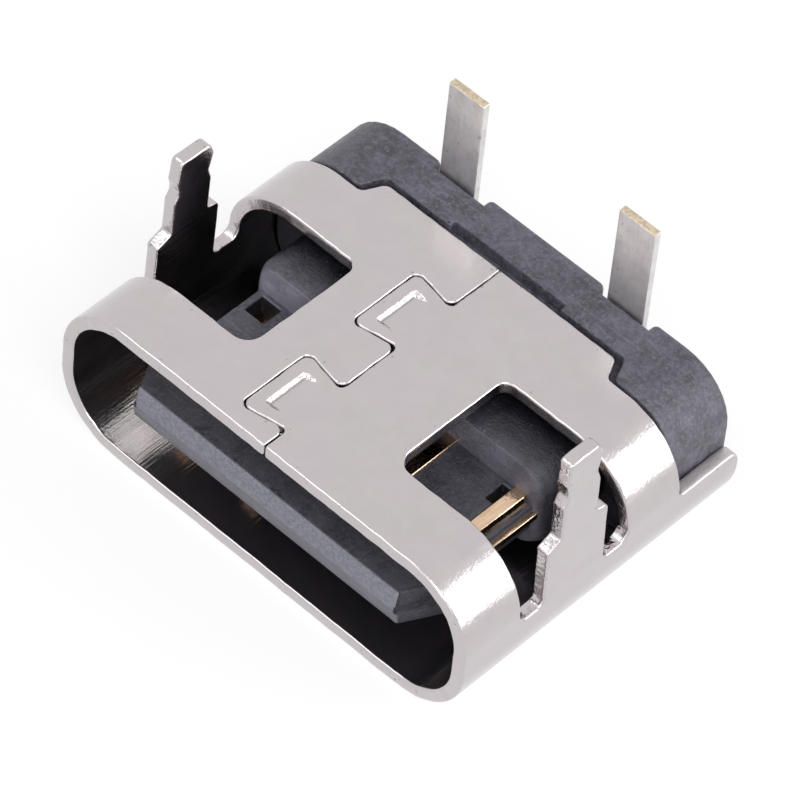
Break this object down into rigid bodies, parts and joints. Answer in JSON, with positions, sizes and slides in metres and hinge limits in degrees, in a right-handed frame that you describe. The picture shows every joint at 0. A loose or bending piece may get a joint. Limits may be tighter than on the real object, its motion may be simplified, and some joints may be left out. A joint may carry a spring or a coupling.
{
  "type": "usb-c power socket",
  "caption": "Board-mounted USB-C power socket: dovetailed metal shell with barbed board tabs, moulded housing with tongue, and stamped terminals with solder legs.",
  "frame": {"origin": "under the middle of the socket's bounding box, on the closed face that it rests on", "axes": "-Y out of the mouth, towards the plug; +Z out of the board face, towards the circuit board; +X to the right for someone who looks into the mouth"},
  "size_m": [0.0088, 0.0064, 0.0051],
  "materials": {
    "plated_steel": "satin nickel plate",
    "moulding": "fine matte",
    "plated_brass": "gold flash on the contacts, tin on the legs"
  },
  "bodies": {
    "root": {"shell": "plated_steel", "housing": "moulding", "power_terminal": "plated_brass", "ground_terminal": "plated_brass"}
  },
  "joints": []
}
